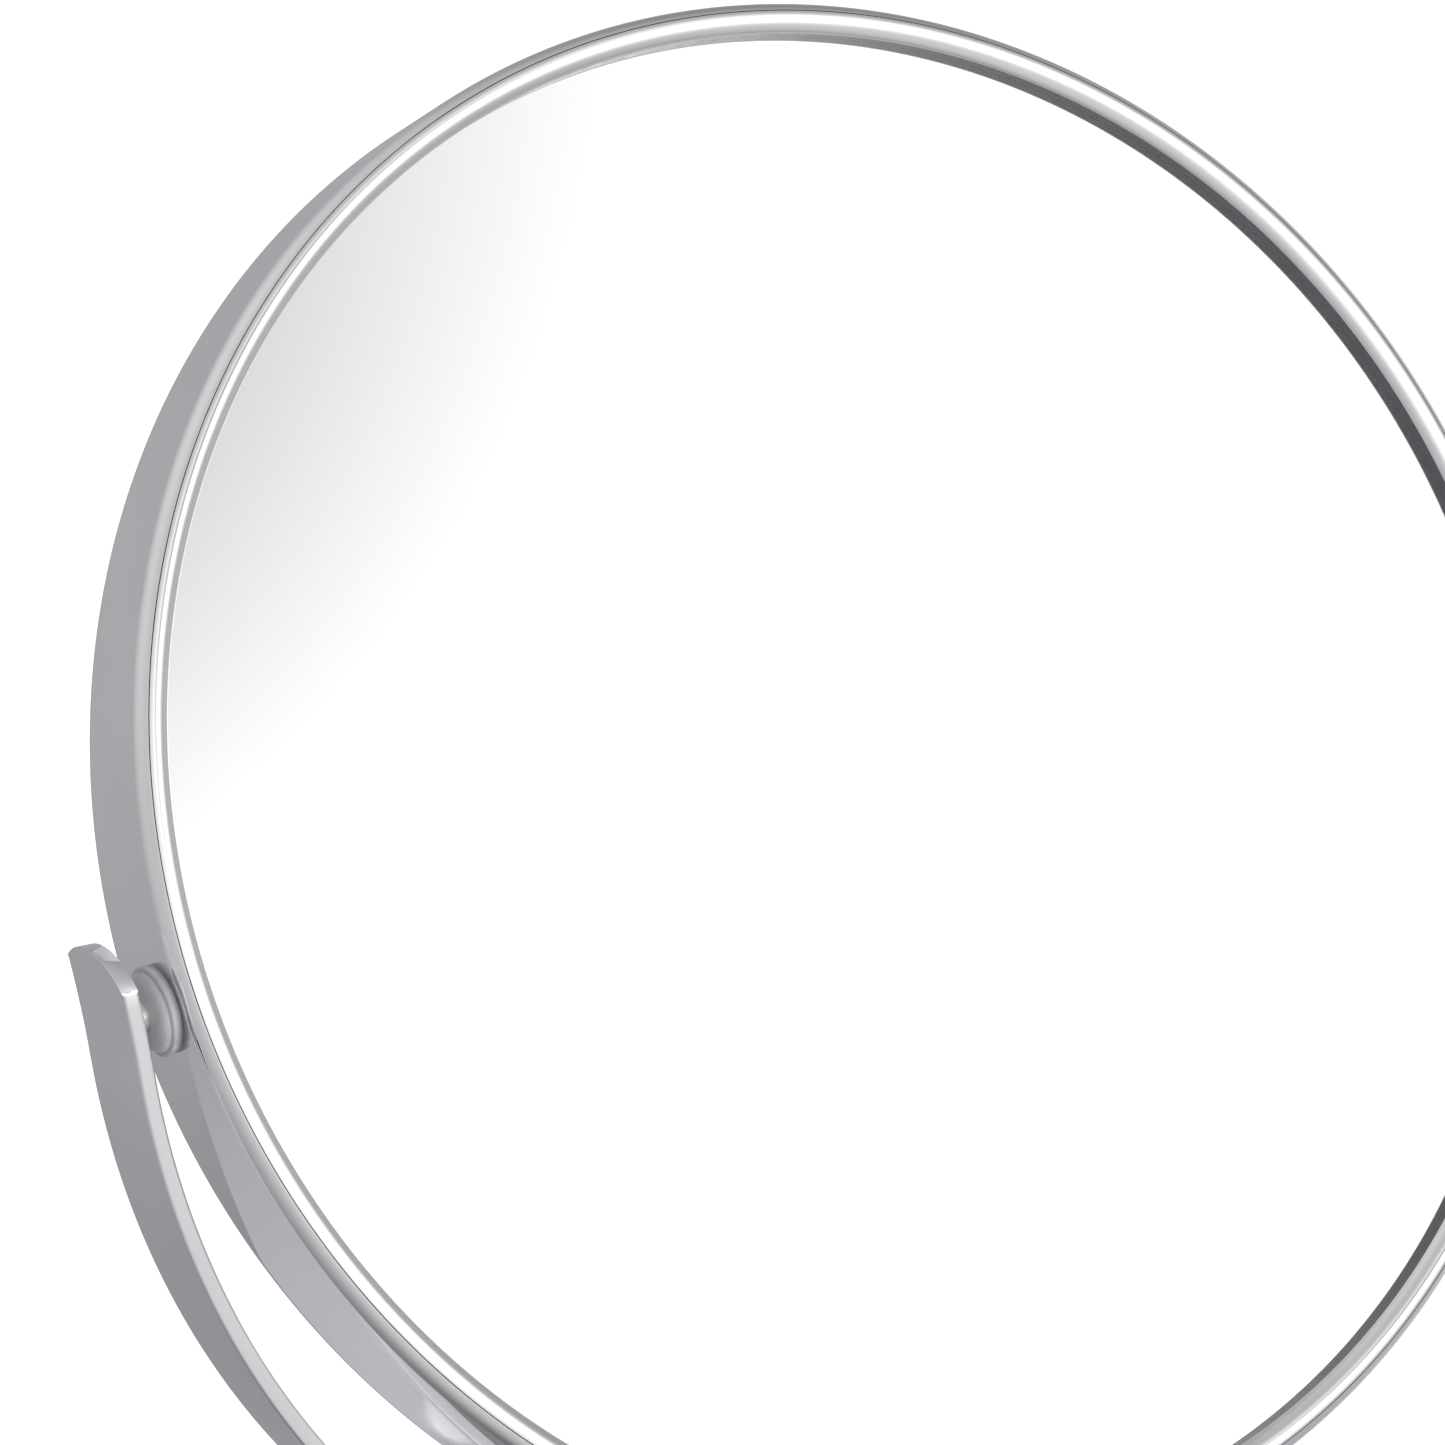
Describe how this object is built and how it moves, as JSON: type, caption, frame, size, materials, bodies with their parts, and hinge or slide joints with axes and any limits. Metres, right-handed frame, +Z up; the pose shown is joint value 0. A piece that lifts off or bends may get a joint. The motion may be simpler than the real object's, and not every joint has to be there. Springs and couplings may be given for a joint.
{
  "type": "extendable shaving mirror",
  "caption": "Round reversible mirror in a strap yoke that swivels and tilts at the end of a wall-mounted scissor arm on an upright rod.",
  "frame": {"origin": "middle of the wall plate's back face", "axes": "+Y into the wall, +Z up, +X to the right for someone facing the wall"},
  "size_m": [0.2734, 0.2586, 0.3379],
  "materials": {
    "wall_plate": "polished",
    "bracket": "polished",
    "rod": "polished",
    "nut": "polished",
    "clip": "satin",
    "bar": "polished",
    "rivet": "polished",
    "bush": "polished",
    "nylon": "matte",
    "yoke": "polished",
    "stud": "polished",
    "washer": "satin",
    "rim": "polished",
    "bezel": "polished",
    "glass": "polished",
    "gasket": "satin",
    "hoop": "matte",
    "board": "matte",
    "foam": "matte",
    "pivot_bush": "satin"
  },
  "bodies": {
    "wall_bracket": {"wall_plate": "wall_plate", "rod_bracket": "bracket", "bracket_rivets": "rivet", "wall_rod": "rod", "wall_rod_nuts": "nut", "wall_rod_clip": "clip"},
    "wall_upper_bush": {"wall_bush_upper": "bush", "wall_bush_upper_rivet": "rivet"},
    "wall_lower_bush": {"wall_bush_lower": "bush", "wall_bush_lower_rivet": "rivet"},
    "head_upper_bush": {"head_bush_upper": "bush", "head_bush_upper_rivet": "rivet"},
    "head_lower_bush": {"head_bush_lower": "bush", "head_bush_lower_rivet": "rivet"},
    "bar_a1": {"scissor_bar_a1": "bar", "upper_rivet_a1": "rivet", "upper_spacer_a1": "nylon"},
    "bar_b1": {"scissor_bar_b1": "bar", "rivets_b1": "rivet", "spacers_b1": "nylon"},
    "bar_a2": {"scissor_bar_a2": "bar", "upper_rivet_a2": "rivet", "upper_spacer_a2": "nylon"},
    "bar_b2": {"scissor_bar_b2": "bar", "rivets_b2": "rivet", "spacers_b2": "nylon"},
    "bar_a3": {"scissor_bar_a3": "bar", "upper_rivet_a3": "rivet", "upper_spacer_a3": "nylon"},
    "bar_b3": {"scissor_bar_b3": "bar", "rivets_b3": "rivet", "spacers_b3": "nylon"},
    "bar_a4": {"scissor_bar_a4": "bar"},
    "bar_b4": {"scissor_bar_b4": "bar", "rivets_b4": "rivet", "spacers_b4": "nylon"},
    "yoke": {"yoke": "yoke", "pivot_stud_left": "stud", "pivot_stud_right": "stud", "pivot_washers": "washer", "stem": "rod", "stem_collar": "yoke", "stem_nut": "nut", "stem_clip": "clip", "stem_end_cap": "rod", "head_thrust_washer": "nylon"},
    "mirror": {"ring_band": "rim", "front_bezel": "bezel", "rear_bezel": "bezel", "front_gasket": "gasket", "rear_gasket": "gasket", "front_glass": "glass", "rear_glass": "glass", "inner_hoop": "hoop", "backing_board": "board", "foam_ring": "foam", "pivot_bushes": "pivot_bush", "pivot_ferrules": "washer"}
  },
  "joints": [
    {"name": "wall_swing", "type": "hinge", "parent": "wall_bracket", "child": "wall_upper_bush", "pos_m": [0, -0.015, 0.05276], "axis": [0, 0, 1], "range_deg": [-37, 113]},
    {"name": "arm_fold", "type": "hinge", "parent": "wall_upper_bush", "child": "bar_b1", "pos_m": [-0.00831, -0.02564, 0.05276], "axis": [-0.788, 0.6157, 0], "range_deg": [-14, 36]},
    {"name": "crossing_1", "type": "hinge", "parent": "bar_b1", "child": "bar_a1", "pos_m": [-0.02626, -0.04861, 0.00611], "axis": [-0.788, 0.6157, 0], "range_deg": [-72, 28]},
    {"name": "upper_pivot_1", "type": "hinge", "parent": "bar_a1", "child": "bar_b2", "pos_m": [-0.0442, -0.07157, 0.05276], "axis": [-0.788, 0.6157, 0], "range_deg": [-28, 72]},
    {"name": "crossing_2", "type": "hinge", "parent": "bar_b2", "child": "bar_a2", "pos_m": [-0.06214, -0.09454, 0.00611], "axis": [-0.788, 0.6157, 0], "range_deg": [-72, 28]},
    {"name": "upper_pivot_2", "type": "hinge", "parent": "bar_a2", "child": "bar_b3", "pos_m": [-0.08009, -0.11751, 0.05276], "axis": [-0.788, 0.6157, 0], "range_deg": [-28, 72]},
    {"name": "crossing_3", "type": "hinge", "parent": "bar_b3", "child": "bar_a3", "pos_m": [-0.09803, -0.14047, 0.00611], "axis": [-0.788, 0.6157, 0], "range_deg": [-72, 28]},
    {"name": "upper_pivot_3", "type": "hinge", "parent": "bar_a3", "child": "bar_b4", "pos_m": [-0.11597, -0.16344, 0.05276], "axis": [-0.788, 0.6157, 0], "range_deg": [-28, 72]},
    {"name": "crossing_4", "type": "hinge", "parent": "bar_b4", "child": "bar_a4", "pos_m": [-0.13392, -0.18641, 0.00611], "axis": [-0.788, 0.6157, 0], "range_deg": [-72, 28]},
    {"name": "wall_lower_pivot", "type": "hinge", "parent": "bar_a1", "child": "wall_lower_bush", "pos_m": [-0.00831, -0.02564, -0.04053], "axis": [-0.788, 0.6157, 0], "range_deg": [-14, 36]},
    {"name": "head_upper_pivot", "type": "hinge", "parent": "bar_a4", "child": "head_upper_bush", "pos_m": [-0.15186, -0.20937, 0.05276], "axis": [-0.788, 0.6157, 0], "range_deg": [-14, 36]},
    {"name": "head_lower_pivot", "type": "hinge", "parent": "bar_b4", "child": "head_lower_bush", "pos_m": [-0.15186, -0.20937, -0.04053], "axis": [-0.788, 0.6157, 0], "range_deg": [-36, 14]},
    {"name": "head_swivel", "type": "hinge", "parent": "head_upper_bush", "child": "yoke", "pos_m": [-0.16017, -0.22001, 0.05276], "axis": [0, 0, 1], "continuous": true},
    {"name": "mirror_flip", "type": "hinge", "parent": "yoke", "child": "mirror", "pos_m": [-0.16017, -0.22001, 0.16801], "axis": [1, 0, 0], "continuous": true}
  ],
  "couplings": [
    {"joint": "crossing_1", "follows": "arm_fold", "ratio": -2},
    {"joint": "upper_pivot_1", "follows": "arm_fold", "ratio": 2},
    {"joint": "crossing_2", "follows": "arm_fold", "ratio": -2},
    {"joint": "upper_pivot_2", "follows": "arm_fold", "ratio": 2},
    {"joint": "crossing_3", "follows": "arm_fold", "ratio": -2},
    {"joint": "upper_pivot_3", "follows": "arm_fold", "ratio": 2},
    {"joint": "crossing_4", "follows": "arm_fold", "ratio": -2},
    {"joint": "wall_lower_pivot", "follows": "arm_fold", "ratio": 1},
    {"joint": "head_upper_pivot", "follows": "arm_fold", "ratio": 1},
    {"joint": "head_lower_pivot", "follows": "arm_fold", "ratio": -1}
  ]
}
